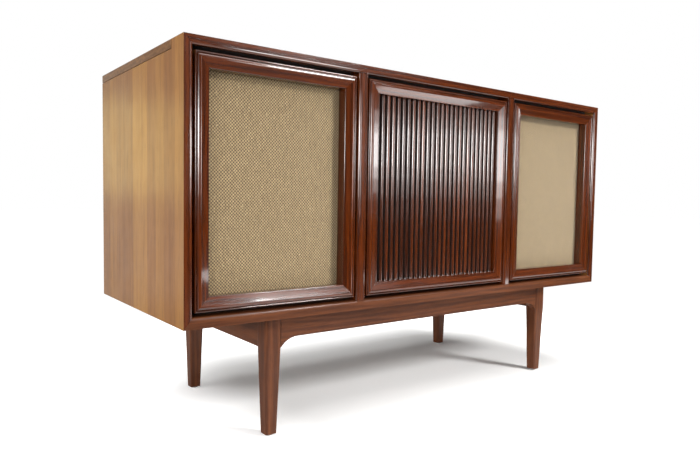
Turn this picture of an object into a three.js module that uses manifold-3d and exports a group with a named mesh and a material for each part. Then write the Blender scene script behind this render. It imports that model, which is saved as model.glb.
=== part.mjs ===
// Radio phonograph console: a long low cabinet on a four-legged base, with a hinged lid over a record
// changer, a receiver and a record well, and three grille panels in front of the loudspeakers.
// Millimetres. +X is to the right as a listener faces it, +Y goes to the back, +Z is up, and the origin
// is on the floor under the middle of the whole object.
import * as THREE from "three";
import { mergeVertices } from "three/addons/utils/BufferGeometryUtils.js";
import Module from "manifold-3d";

const wasm = await Module();
wasm.setup();

// ---------------------------------------------------------------- driving dimensions
const WIDTH = 1320; // case
const DEPTH = 518;
const HEIGHT = 792; // floor to the top of the lid
const BASE_H = 256; // floor to the underside of the case
const SIDE_T = 18; // board thicknesses
const TOP_T = 18;
const BOTTOM_T = 21;
const DIVIDER_T = 18;
const RAIL_D = 60; // depth of the fixed strip of the top, in front of the lid
const MULLION_X = 250.5; // the mullions' centres, left and right
const MULLION_W = 25;
const MULLION_D = 50; // front to back
const EDGE_R = 6; // round-over around each front opening
const REAR_RAIL_T = 18;
const REAR_RAIL_LOW = 730;
const BACK_PANEL_IN = 6; // how far the back panel is let in
const BACK_PANEL_T = 4;
const VENTS = { fields: [-430, 0, 430], each: 9, pitch: 24, width: 6, z0: 560, z1: 640 };
const SEAM = 0.3; // gap between boards that touch

const FRAME_W = 29; // width of a grille frame's moulding
const FRAME_D = 30; // how far it reaches back from the case's face
const FRAME_SIDE_GAP = 5; // shadow gap around each grille frame
const FRAME_END_GAP = 8;
const BACKING_LAP = 10; // how far the cloth laps behind its frame

const SLATS = 26;
const SLAT_PITCH = 15.8;
const SLAT_W = 9;
const SLAT_FRONT = 14; // behind the case's face

const LEG_TOP = 38; // square section under the case
const LEG_FOOT = 26;
const LEG_X = 451;
const LEG_FRONT = 55; // leg centres, behind the case's face
const LEG_REAR = 452;
const LEG_R = 6; // rounded corners of the leg
const GLIDE_H = 4;
const APRON_T = 20;
const APRON_LOW = 187; // underside of the side aprons and of the brackets
const APRON_ARCH = 207; // underside of the front and rear aprons between the brackets
const BRACKET_RUN = 40;

const LID_GAP = 1.2; // under the lid
const LID_FRONT_GAP = 2;
const KNUCKLE_R = 3; // lid hinge
const KNUCKLES = 20;
const HINGE_L = 1280;
const LEAF_T = 1.2;
const LEAF_W = 14;
const HINGE_OUT = 3.4; // hinge axis behind the case's back

const STAY_ARM = 130; // pivot to pin, and hinge axis to pivot
const STAY_TRACK_DEG = 6; // the slot's fall below level, on a line through the hinge axis
const STAY_PIVOT_DEG = 14; // the pivot's fall below level, seen from the hinge axis
const LID_OPEN_DEG = 68;

const BATTEN_T = 6; // behind the slats, across the center grille frame's rails
const BAFFLE_T = 12;
const DRIVERS = {
  side: { r: 103, depth: 82, magnetR: 42, z: 525.5 },
  center: { r: 152, depth: 128, magnetR: 62, z: 490 },
};
const CONE_SHARE = 0.9; // of a driver's radius that the baffle's hole leaves open

const DECK_TOP = 668;
const DECK_T = 12;
const DECK_FRONT = 50.5; // behind the case's face

const PLATTER_R = 140;
const PLATTER_X = -55;
const PLATTER_D = 295; // behind the case's face
const PLATE_TOP = 671;
const MAT_TOP = 701;
const TONEARM_X = 130;
const TONEARM_D = 400;
const TONEARM_L = 228; // pivot to stylus
const TONEARM_Z = 712; // axis of the tube and of its lift pivot
const POST_X = -188; // post of the record-steadying arm
const POST_D = 428;
const LEVERS = {
  speed: { name: "speed_lever", x: 62, d: 162 },
  control: { name: "play_reject_lever", x: 104, d: 162 },
};

// Cut-outs and trays in the deck: x, depth behind the case's face, and height.
const WELL = { x0: -625, x1: -315, d0: 145, d1: 485, bottom: 340, wall: 6 };
const PLATE = { x0: -215, x1: 178, d0: 130, d1: 462 };
const PANEL = { x0: 258, x1: 626, d0: 140, d1: 440 };
const DIAL = { x0: 280, x1: 604, d0: 330, d1: 410, floor: 658 };
const DIAL_START = DIAL.x0 + 24; // the pointer's place at the low end of the band
const KNOBS = ["volume_knob", "tone_knob", "balance_knob", "selector_knob", "tuning_knob"];
const KNOB_PITCH = 66;
const KNOB_D = 215;
const PANEL_TOP = DECK_TOP + 3;
const INLET = { x: 520, z: 330 }; // mains inlet in the back

// ---------------------------------------------------------------- derived places
const FRONT = -(DEPTH + HINGE_OUT + KNUCKLE_R) / 2; // y of the case's face
const BACK = FRONT + DEPTH;
const HALF_W = WIDTH / 2;
const INNER_X = HALF_W - SIDE_T;
const LID_SEAT = HEIGHT - TOP_T; // top of the sides, under the lid
const FLOOR_IN = BASE_H + BOTTOM_T; // top of the bottom board
const LID_FRONT = FRONT + RAIL_D + LID_FRONT_GAP;
const LID_UNDER = LID_SEAT + LID_GAP;
const HINGE_Y = BACK + HINGE_OUT;
const HINGE_Z = LID_SEAT + LID_GAP / 2;
const MULLION_IN = MULLION_X - MULLION_W / 2;
const MULLION_OUT = MULLION_X + MULLION_W / 2;
const SIDE_BAY_X = (INNER_X + MULLION_OUT) / 2; // centre of a side bay
const SIDE_BAY_HALF = (INNER_X - MULLION_OUT) / 2;
const BAY_Z = (LID_SEAT + FLOOR_IN) / 2;
const BAY_HALF_H = (LID_SEAT - FLOOR_IN) / 2;
const BAYS = [
  { side: "left", x: -SIDE_BAY_X, half: SIDE_BAY_HALF },
  { side: "center", x: 0, half: MULLION_IN },
  { side: "right", x: SIDE_BAY_X, half: SIDE_BAY_HALF },
];
const CLOTH_T = 2;
const BACKING_FRONT = FRAME_D + SEAM; // depth of the cloths and battens behind the frames

const radians = THREE.MathUtils.degToRad;
const behind = (d) => FRONT + d; // y of a place d behind the case's face

// ---------------------------------------------------------------- materials
const paint = (color, roughness, metalness = 0) =>
  new THREE.MeshStandardMaterial({ color, roughness, metalness });
const WALNUT = paint(0x6b3215, 0.3);
const SIDE_WALNUT = paint(0xb07c45, 0.35);
const LEG_WALNUT = paint(0x5a3421, 0.4);
const PLYWOOD = paint(0xa98a61, 0.8);
const HARDBOARD = paint(0x5b4630, 0.9);
const BLACK_BOARD = paint(0x15110e, 0.9);
const CLOTH = paint(0xa68b62, 0.95);
const BRASS = paint(0xb08d4c, 0.35, 1);
const STEEL = paint(0x9a9a98, 0.4, 1);
const CHROME = paint(0xd8d8d8, 0.12, 1);
const CREAM = paint(0xd9d0ba, 0.45);
const BROWN_METAL = paint(0x4a3d33, 0.5, 0.4);
const RUBBER = paint(0x1b1a19, 0.85);
const CONE_PAPER = paint(0x2a2623, 0.9);
const KNOB = paint(0x2a211b, 0.35);
const GLASS = new THREE.MeshStandardMaterial({
  color: 0xdfe8e4,
  roughness: 0.05,
  transparent: true,
  opacity: 0.35,
});

// ---------------------------------------------------------------- solids and booleans
function solid(geometry) {
  const bare = new THREE.BufferGeometry();
  bare.setAttribute("position", geometry.getAttribute("position").clone());
  if (geometry.index) bare.setIndex(geometry.index.clone());
  const merged = mergeVertices(bare, 1e-4);
  const corners = [];
  for (let i = 0; i < merged.index.count; i += 3) {
    const [a, b, c] = [0, 1, 2].map((k) => merged.index.getX(i + k));
    if (a !== b && b !== c && c !== a) corners.push(a, b, c);
  }
  return new wasm.Manifold(
    new wasm.Mesh({
      numProp: 3,
      vertProperties: new Float32Array(merged.attributes.position.array),
      triVerts: new Uint32Array(corners),
    }),
  );
}

function geometryOf(body) {
  const mesh = body.getMesh();
  const geometry = new THREE.BufferGeometry();
  geometry.setAttribute("position", new THREE.BufferAttribute(mesh.vertProperties, 3));
  geometry.setIndex(new THREE.BufferAttribute(mesh.triVerts, 1));
  geometry.computeVertexNormals();
  return geometry;
}

const join = (...geometries) => geometryOf(geometries.map(solid).reduce((a, b) => a.add(b)));
const cut = (geometry, ...tools) =>
  geometryOf(tools.map(solid).reduce((body, tool) => body.subtract(tool), solid(geometry)));

// ---------------------------------------------------------------- basic shapes
function block(x0, x1, y0, y1, z0, z1) {
  const geometry = new THREE.BoxGeometry(x1 - x0, y1 - y0, z1 - z0);
  return geometry.translate((x0 + x1) / 2, (y0 + y1) / 2, (z0 + z1) / 2);
}

function outline(points) {
  return new THREE.Shape(points.map(([a, b]) => new THREE.Vector2(a, b)));
}

const flatExtrude = (shape, depth) =>
  new THREE.ExtrudeGeometry(shape, { depth, bevelEnabled: false, curveSegments: 6 });

// A prism whose outline is in x and y.
const prismZ = (shape, z0, z1) => flatExtrude(shape, z1 - z0).translate(0, 0, z0);

// A prism whose outline is in x and z.
const prismY = (points, y0, y1) =>
  flatExtrude(outline(points), y1 - y0).rotateX(Math.PI / 2).translate(0, y1, 0);

// A prism whose outline is in y and z.
function prismX(points, x0, x1) {
  const turn = new THREE.Matrix4().makeBasis(
    new THREE.Vector3(0, 1, 0),
    new THREE.Vector3(0, 0, 1),
    new THREE.Vector3(1, 0, 0),
  );
  return flatExtrude(outline(points), x1 - x0).applyMatrix4(turn).translate(x0, 0, 0);
}

const rodZ = (r, z0, z1, x = 0, y = 0, sides = 20) =>
  new THREE.CylinderGeometry(r, r, z1 - z0, sides).rotateX(Math.PI / 2).translate(x, y, (z0 + z1) / 2);
const rodX = (r, x0, x1, y, z, sides = 12) =>
  new THREE.CylinderGeometry(r, r, x1 - x0, sides).rotateZ(Math.PI / 2).translate((x0 + x1) / 2, y, z);
const rodY = (r, y0, y1, x, z, sides = 16) =>
  new THREE.CylinderGeometry(r, r, y1 - y0, sides).translate(x, (y0 + y1) / 2, z);

// A turned piece about the z axis, from [radius, height] points taken anticlockwise.
const turned = (points, sides = 24) =>
  new THREE.LatheGeometry(points.map(([r, z]) => new THREE.Vector2(r, z)), sides).rotateX(Math.PI / 2);

// A turned piece about the y axis, from [radius, y] points taken anticlockwise.
const turnedY = (points, sides = 24) =>
  new THREE.LatheGeometry(points.map(([r, y]) => new THREE.Vector2(r, y)), sides);

function roundedRectangle(x0, x1, y0, y1, r) {
  const shape = new THREE.Shape();
  shape.moveTo(x0 + r, y0).lineTo(x1 - r, y0).absarc(x1 - r, y0 + r, r, -Math.PI / 2, 0);
  shape.lineTo(x1, y1 - r).absarc(x1 - r, y1 - r, r, 0, Math.PI / 2);
  shape.lineTo(x0 + r, y1).absarc(x0 + r, y1 - r, r, Math.PI / 2, Math.PI);
  shape.lineTo(x0, y0 + r).absarc(x0 + r, y0 + r, r, Math.PI, 1.5 * Math.PI);
  return shape;
}

// Points on an arc, end points included, as [a, b] pairs.
function arc(a, b, ra, rb, from, to, steps) {
  return Array.from({ length: steps + 1 }, (_, i) => {
    const t = radians(from + ((to - from) * i) / steps);
    return [a + ra * Math.cos(t), b + rb * Math.sin(t)];
  });
}

// A mitred rectangular frame in the xz plane. Its profile is [inward from the outer edge, depth] pairs
// that run from the outer edge across the front to the inner edge. A four-sided lathe is spread out to
// the frame's half width and half height.
function mitredFrame(profile, x, z, halfW, halfH) {
  const reach = Math.min(halfW, halfH);
  const closed = [...profile, profile[0]].reverse();
  const points = closed.map(([s, d]) => new THREE.Vector2((reach - s) * Math.SQRT2, behind(d)));
  const geometry = new THREE.LatheGeometry(points, 4, Math.PI / 4);
  const position = geometry.getAttribute("position");
  for (let i = 0; i < position.count; i++) {
    const px = position.getX(i);
    const pz = position.getZ(i);
    position.setX(i, x + px + Math.sign(px) * (halfW - reach));
    position.setZ(i, z + pz + Math.sign(pz) * (halfH - reach));
  }
  return geometry;
}

// ---------------------------------------------------------------- assembly
const model = new THREE.Group();

function assembly(name) {
  const group = new THREE.Group();
  group.name = name;
  model.add(group);
  return group;
}

function place(group, name, geometry, material) {
  const mesh = new THREE.Mesh(geometry, material);
  mesh.name = name;
  group.add(mesh);
  return mesh;
}

// ---------------------------------------------------------------- cabinet
// The cutter that rounds the front edge all round one opening of the face.
function roundOver({ x, half }) {
  const curve = arc(-EDGE_R, EDGE_R, EDGE_R, EDGE_R, 0, -90, 5);
  const spare = 1; // the cutter stands this far clear of the wood
  const profile = [[spare, EDGE_R], ...curve, [-EDGE_R, -spare], [spare, -spare]];
  return mitredFrame(profile, x, BAY_Z, half, BAY_HALF_H);
}

function buildCabinet() {
  const cabinet = assembly("cabinet");
  const cutters = BAYS.map(roundOver);
  const lidRecess = block(-HALF_W - 1, HALF_W + 1, FRONT + RAIL_D, BACK + 1, LID_SEAT, HEIGHT + 1);

  for (const [name, s] of [["left_side_panel", -1], ["right_side_panel", 1]]) {
    const board = prismY(
      [
        [s * HALF_W, BASE_H + SEAM],
        [s * INNER_X, FLOOR_IN + SEAM],
        [s * INNER_X, LID_SEAT - SEAM],
        [s * HALF_W, HEIGHT - SEAM],
      ],
      FRONT,
      BACK,
    );
    place(cabinet, name, cut(board, lidRecess, ...cutters), SIDE_WALNUT);
  }

  const topRail = prismY(
    [[-HALF_W, HEIGHT], [-INNER_X, LID_SEAT], [INNER_X, LID_SEAT], [HALF_W, HEIGHT]],
    FRONT,
    FRONT + RAIL_D - SEAM,
  );
  place(cabinet, "top_front_rail", cut(topRail, ...cutters), WALNUT);

  const bottom = prismY(
    [[-HALF_W, BASE_H], [HALF_W, BASE_H], [INNER_X, FLOOR_IN], [-INNER_X, FLOOR_IN]],
    FRONT,
    BACK,
  );
  place(cabinet, "bottom_panel", cut(bottom, ...cutters), WALNUT);

  // Each divider carries a mullion as its front edge, and stops under the deck and 2 mm from the back.
  const backPanelFace = BACK - BACK_PANEL_IN - BACK_PANEL_T;
  const dividerEnd = backPanelFace - 2;
  for (const [name, s] of [["left_divider", -1], ["right_divider", 1]]) {
    const x = s * MULLION_X;
    const low = FLOOR_IN + SEAM;
    const mullion = block(
      x - MULLION_W / 2, x + MULLION_W / 2, FRONT, behind(MULLION_D), low, LID_SEAT - SEAM,
    );
    const board = block(
      x - DIVIDER_T / 2, x + DIVIDER_T / 2, behind(MULLION_D - 1), dividerEnd,
      low, DECK_TOP - DECK_T - SEAM,
    );
    place(cabinet, name, cut(join(mullion, board), ...cutters), WALNUT);
  }

  const railTop = HINGE_Z - LEAF_T - 2 * SEAM;
  place(
    cabinet,
    "rear_top_rail",
    block(-INNER_X + SEAM, INNER_X - SEAM, BACK - REAR_RAIL_T, BACK, REAR_RAIL_LOW, railTop),
    WALNUT,
  );

  // A thin back with three fields of ventilation slots, and a hole for the mains inlet.
  const slots = [];
  for (const fieldX of VENTS.fields) {
    for (let i = 0; i < VENTS.each; i++) {
      const x = fieldX + (i - (VENTS.each - 1) / 2) * VENTS.pitch;
      const half = VENTS.width / 2;
      slots.push(block(x - half, x + half, BACK - 20, BACK, VENTS.z0, VENTS.z1));
    }
  }
  const back = block(
    -INNER_X + SEAM, INNER_X - SEAM, backPanelFace, BACK - BACK_PANEL_IN,
    FLOOR_IN + SEAM, REAR_RAIL_LOW - SEAM,
  );
  const inletHole = rodY(9, BACK - 20, BACK, INLET.x, INLET.z);
  place(cabinet, "back_panel", cut(back, inletHole, ...slots), HARDBOARD);
  place(
    cabinet,
    "power_inlet",
    turnedY(
      [[3.5, -16], [8.4, -16], [8.4, -5.4], [13, -5.4], [13, -2], [10, 0], [3.5, 0], [3.5, -16]],
      20,
    ).translate(INLET.x, BACK - 0.5, INLET.z),
    RUBBER,
  );
}

// ---------------------------------------------------------------- base
function buildLeg(x, y) {
  const half = LEG_TOP / 2;
  const section = roundedRectangle(-half, half, -half, half, LEG_R);
  const straight = prismZ(section, APRON_LOW, BASE_H - SEAM);
  const taper = prismZ(section, GLIDE_H, APRON_LOW);
  const position = taper.getAttribute("position");
  for (let i = 0; i < position.count; i++) {
    if (position.getZ(i) < APRON_LOW - 1) {
      position.setX(i, (position.getX(i) * LEG_FOOT) / LEG_TOP);
      position.setY(i, (position.getY(i) * LEG_FOOT) / LEG_TOP);
    }
  }
  return join(straight, taper).translate(x, y, 0);
}

function longApronOutline(half) {
  const rise = APRON_ARCH - APRON_LOW;
  const r = (BRACKET_RUN ** 2 + rise ** 2) / (2 * rise);
  const sweep = THREE.MathUtils.radToDeg(Math.asin(BRACKET_RUN / r));
  const inner = half - BRACKET_RUN;
  const right = arc(inner, APRON_ARCH - r, r, r, 90, 90 - sweep, 6);
  const left = right.map(([x, z]) => [-x, z]).reverse();
  const top = BASE_H - SEAM;
  return [[half, top], [-half, top], ...left, ...right];
}

function buildBase() {
  const base = assembly("base");
  const corners = [
    ["front_left", -LEG_X, behind(LEG_FRONT)],
    ["front_right", LEG_X, behind(LEG_FRONT)],
    ["rear_left", -LEG_X, behind(LEG_REAR)],
    ["rear_right", LEG_X, behind(LEG_REAR)],
  ];
  for (const [corner, x, y] of corners) {
    place(base, `${corner}_leg`, buildLeg(x, y), LEG_WALNUT);
    const glide = turned([[0, 0], [8, 0], [10, 1.5], [10, GLIDE_H - SEAM], [0, GLIDE_H - SEAM]], 16);
    place(base, `${corner}_glide`, glide.translate(x, y, 0), STEEL);
  }
  const half = LEG_TOP / 2;
  const long = longApronOutline(LEG_X - half - SEAM);
  const setBack = half - 3; // the aprons' faces sit this far out from the legs' centres
  const frontFace = behind(LEG_FRONT) - setBack;
  const rearFace = behind(LEG_REAR) + setBack;
  place(base, "front_apron", prismY(long, frontFace, frontFace + APRON_T), LEG_WALNUT);
  place(base, "rear_apron", prismY(long, rearFace - APRON_T, rearFace), LEG_WALNUT);
  for (const [name, s] of [["left_apron", -1], ["right_apron", 1]]) {
    const x = s * (LEG_X + setBack - APRON_T / 2);
    const board = block(
      x - APRON_T / 2, x + APRON_T / 2,
      behind(LEG_FRONT) + half + SEAM, behind(LEG_REAR) - half - SEAM,
      APRON_LOW, BASE_H - SEAM,
    );
    place(base, name, board, LEG_WALNUT);
  }
}

// ---------------------------------------------------------------- grilles and loudspeakers
// The moulding: outer bead, broad high nose, long slope of about 20 degrees, rounded inner edge, then the
// deep inner wall.
function mouldingProfile() {
  return [
    [0, FRAME_D],
    ...arc(1.7, 5, 1.7, 1.7, 180, 340, 4),
    [3.9, 5],
    ...arc(9.9, 5.3, 5.9, 4.7, 190, 292, 6),
    ...arc(27.3, 7.8, 1.7, 1.7, 292, 360, 3),
    [FRAME_W, FRAME_D],
  ];
}

function buildSlats(half, halfH) {
  const first = (-(SLATS - 1) / 2) * SLAT_PITCH;
  const r = SLAT_W / 2;
  const pieces = [];
  for (let i = 0; i < SLATS; i++) {
    const x = first + i * SLAT_PITCH;
    const nose = arc(x, behind(SLAT_FRONT + r), r, r, 180, 360, 6);
    const back = behind(FRAME_D + 1);
    pieces.push(prismZ(outline([...nose, [x + r, back], [x - r, back]]),
      BAY_Z - halfH + SEAM, BAY_Z + halfH - SEAM));
  }
  // Two battens behind the frame's rails carry the slats.
  for (const s of [-1, 1]) {
    const z = BAY_Z + s * halfH;
    const lap = 18;
    pieces.push(block(
      -half - lap, half + lap, behind(BACKING_FRONT), behind(FRAME_D + BATTEN_T), z - lap, z + lap,
    ));
  }
  return join(...pieces);
}

// A paper-cone driver whose rim lies against the back of its baffle. It faces -Y.
function driver(r, depth, magnetR, x, z, baffleBack) {
  const magnetD = 24;
  const profile = [
    [0, depth * 0.5],
    [r * 0.22, depth * 0.42],
    [r * 0.3, depth * 0.5],
    [r * 0.84, 9],
    [r * 0.9, 4],
    [r, 4],
    [r, 8],
    [r * 0.93, 12],
    [magnetR * 0.95, depth - magnetD],
    [magnetR, depth - magnetD],
    [magnetR, depth],
    [0, depth],
  ];
  return turnedY(profile, 24).translate(x, baffleBack + SEAM - 4, z);
}

function buildFront() {
  const front = assembly("front");
  for (const bay of BAYS) {
    const halfW = bay.half - FRAME_SIDE_GAP;
    const halfH = BAY_HALF_H - FRAME_END_GAP;
    const openW = halfW - FRAME_W;
    const openH = halfH - FRAME_W;
    place(
      front,
      `${bay.side}_grille_frame`,
      mitredFrame(mouldingProfile(), bay.x, BAY_Z, halfW, halfH),
      WALNUT,
    );
    const isCenter = bay.side === "center";
    if (isCenter) {
      place(front, "center_louvre", buildSlats(openW, openH), WALNUT);
    } else {
      const clothW = openW + BACKING_LAP;
      const clothH = openH + BACKING_LAP;
      const cloth = block(
        bay.x - clothW, bay.x + clothW,
        behind(BACKING_FRONT), behind(BACKING_FRONT + CLOTH_T),
        BAY_Z - clothH, BAY_Z + clothH,
      );
      place(front, `${bay.side}_grille_cloth`, cloth, CLOTH);
    }

    const baffleFront = behind(isCenter ? FRAME_D + BATTEN_T + SEAM : BACKING_FRONT + CLOTH_T + SEAM);
    const baffleBack = baffleFront + BAFFLE_T;
    const { r, depth, magnetR, z } = isCenter ? DRIVERS.center : DRIVERS.side;
    const board = block(
      bay.x - bay.half + SEAM, bay.x + bay.half - SEAM,
      baffleFront, baffleBack,
      FLOOR_IN + SEAM, LID_SEAT - SEAM,
    );
    const hole = rodY(r * CONE_SHARE, baffleFront - 1, baffleBack + 1, bay.x, z, 24);
    place(front, `${bay.side}_baffle`, cut(board, hole), BLACK_BOARD);
    const name = isCenter ? "woofer" : `${bay.side}_speaker`;
    place(front, name, driver(r, depth, magnetR, bay.x, z, baffleBack), CONE_PAPER);
  }
}

// ---------------------------------------------------------------- lid, hinge and stay
// One leaf of the long hinge. own(i) says which knuckles belong to it.
function hingeLeaf(zLow, own, bored) {
  const step = HINGE_L / KNUCKLES;
  const leaf = block(
    -HINGE_L / 2, HINGE_L / 2, BACK - LEAF_W, BACK - 0.2, zLow, zLow + LEAF_T,
  );
  const parts = [leaf];
  for (let i = 0; i < KNUCKLES; i++) {
    if (!own(i)) continue;
    const x0 = -HINGE_L / 2 + i * step + 0.25;
    const x1 = x0 + step - 0.5;
    parts.push(block(x0, x1, BACK - 1, HINGE_Y, zLow, zLow + LEAF_T));
    parts.push(rodX(KNUCKLE_R, x0, x1, HINGE_Y, HINGE_Z, 12));
  }
  const body = join(...parts);
  return bored ? cut(body, rodX(1.6, -HINGE_L, HINGE_L, HINGE_Y, HINGE_Z, 10)) : body;
}

// The stay works in a plane across the cabinet. A slot on the lid's track lies on a line through the
// hinge axis, and the arm is as long as the distance from that axis to its own pivot, so the arm turns
// exactly twice as far as the lid.
const STAY_X = { bracket: -INNER_X + SEAM, arm: -636.5, track: -632.5 };
const fromHinge = (r, deg) => [
  HINGE_Y - r * Math.cos(radians(deg)),
  HINGE_Z - r * Math.sin(radians(deg)),
];
const PIVOT = fromHinge(STAY_ARM, STAY_PIVOT_DEG);
const PIN_SHUT = 2 * STAY_ARM * Math.cos(radians(STAY_PIVOT_DEG - STAY_TRACK_DEG));
const PIN_OPEN = 2 * STAY_ARM * Math.cos(radians(STAY_PIVOT_DEG - STAY_TRACK_DEG + LID_OPEN_DEG));

// A flat bar with round ends from a to b in the yz plane.
function bar(a, b, r, x0, x1) {
  const along = Math.atan2(b[1] - a[1], b[0] - a[0]);
  const deg = THREE.MathUtils.radToDeg(along);
  const points = [
    ...arc(b[0], b[1], r, r, deg - 90, deg + 90, 6),
    ...arc(a[0], a[1], r, r, deg + 90, deg + 270, 6),
  ];
  return prismX(points, x0, x1);
}

function buildLid() {
  const lidGroup = assembly("lid_assembly");
  const board = block(-HALF_W, HALF_W, LID_FRONT, BACK, LID_UNDER, HEIGHT);
  const leafBed = block(
    -HINGE_L / 2 - 0.5, HINGE_L / 2 + 0.5, BACK - LEAF_W - 0.5, BACK + 1,
    LID_UNDER - 1, HINGE_Z + LEAF_T + 2 * SEAM,
  );
  place(lidGroup, "lid", cut(board, leafBed), WALNUT);

  const even = (i) => i % 2 === 0;
  const caseLeaf = hingeLeaf(HINGE_Z - LEAF_T - SEAM, even, false);
  const pin = rodX(1.2, -HINGE_L / 2 - 1, HINGE_L / 2 + 1, HINGE_Y, HINGE_Z, 8);
  place(lidGroup, "lid_hinge_case_leaf", join(caseLeaf, pin), BRASS);
  place(lidGroup, "lid_hinge_lid_leaf", hingeLeaf(HINGE_Z + SEAM, (i) => !even(i), true), BRASS);

  // Bracket: a plate on the left side panel with a stud for the arm.
  const x = STAY_X;
  const plate = block(x.bracket, x.bracket + 2, PIVOT[0] - 22, PIVOT[0] + 22, PIVOT[1] - 14, PIVOT[1] + 14);
  const stud = rodX(3, x.bracket + 1, x.arm + 2.2, PIVOT[0], PIVOT[1], 12);
  place(lidGroup, "stay_bracket", join(plate, stud), BRASS);

  // Arm: a flat bar bored for the stud, with a pin that runs in the slot.
  const end = fromHinge(PIN_SHUT, STAY_TRACK_DEG);
  const arm = cut(
    bar(PIVOT, end, 7, x.arm, x.arm + 2),
    rodX(3.4, x.arm - 1, x.arm + 3, PIVOT[0], PIVOT[1], 12),
  );
  const pinRod = rodX(2.6, x.arm + 1, x.track + 4, end[0], end[1], 12);
  place(lidGroup, "stay_arm", join(arm, pinRod), BRASS);

  // Track: a web with a long slot, hung from a flange screwed under the lid.
  const near = fromHinge(PIN_OPEN - 16, STAY_TRACK_DEG);
  const far = fromHinge(PIN_SHUT + 16, STAY_TRACK_DEG);
  const flangeZ = LID_UNDER - SEAM;
  const web = prismX(
    [
      [near[0], flangeZ],
      [far[0], flangeZ],
      [far[0], far[1] - 8],
      [near[0], near[1] - 8],
    ],
    x.track,
    x.track + 2,
  );
  const flange = block(x.track, x.track + 16, far[0], near[0], flangeZ - 1.5, flangeZ);
  const slot = bar(
    fromHinge(PIN_OPEN - 1, STAY_TRACK_DEG),
    fromHinge(PIN_SHUT + 1, STAY_TRACK_DEG),
    3.2,
    x.track - 1,
    x.track + 3,
  );
  place(lidGroup, "stay_track", cut(join(web, flange), slot), BRASS);
}

// ---------------------------------------------------------------- deck and record well
function buildDeck() {
  const deck = assembly("deck");
  const board = block(
    -INNER_X + SEAM, INNER_X - SEAM, behind(DECK_FRONT), BACK - REAR_RAIL_T - SEAM,
    DECK_TOP - DECK_T, DECK_TOP,
  );
  const through = (x0, x1, d0, d1) =>
    block(x0, x1, behind(d0), behind(d1), DECK_TOP - DECK_T - 1, DECK_TOP + 1);
  const inset = 14;
  place(
    deck,
    "deck_board",
    cut(
      board,
      through(WELL.x0 - SEAM, WELL.x1 + SEAM, WELL.d0 - SEAM, WELL.d1 + SEAM),
      through(PLATE.x0 + inset, PLATE.x1 - inset, PLATE.d0 + inset, PLATE.d1 - inset),
      through(PANEL.x0 + inset, PANEL.x1 - inset, PANEL.d0 + inset, PANEL.d1 - inset),
    ),
    WALNUT,
  );
  const w = WELL.wall;
  place(
    deck,
    "record_well",
    cut(
      block(WELL.x0, WELL.x1, behind(WELL.d0), behind(WELL.d1), WELL.bottom, DECK_TOP + 2),
      block(
        WELL.x0 + w, WELL.x1 - w, behind(WELL.d0 + w), behind(WELL.d1 - w),
        WELL.bottom + w, DECK_TOP + 3,
      ),
    ),
    PLYWOOD,
  );
}

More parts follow.
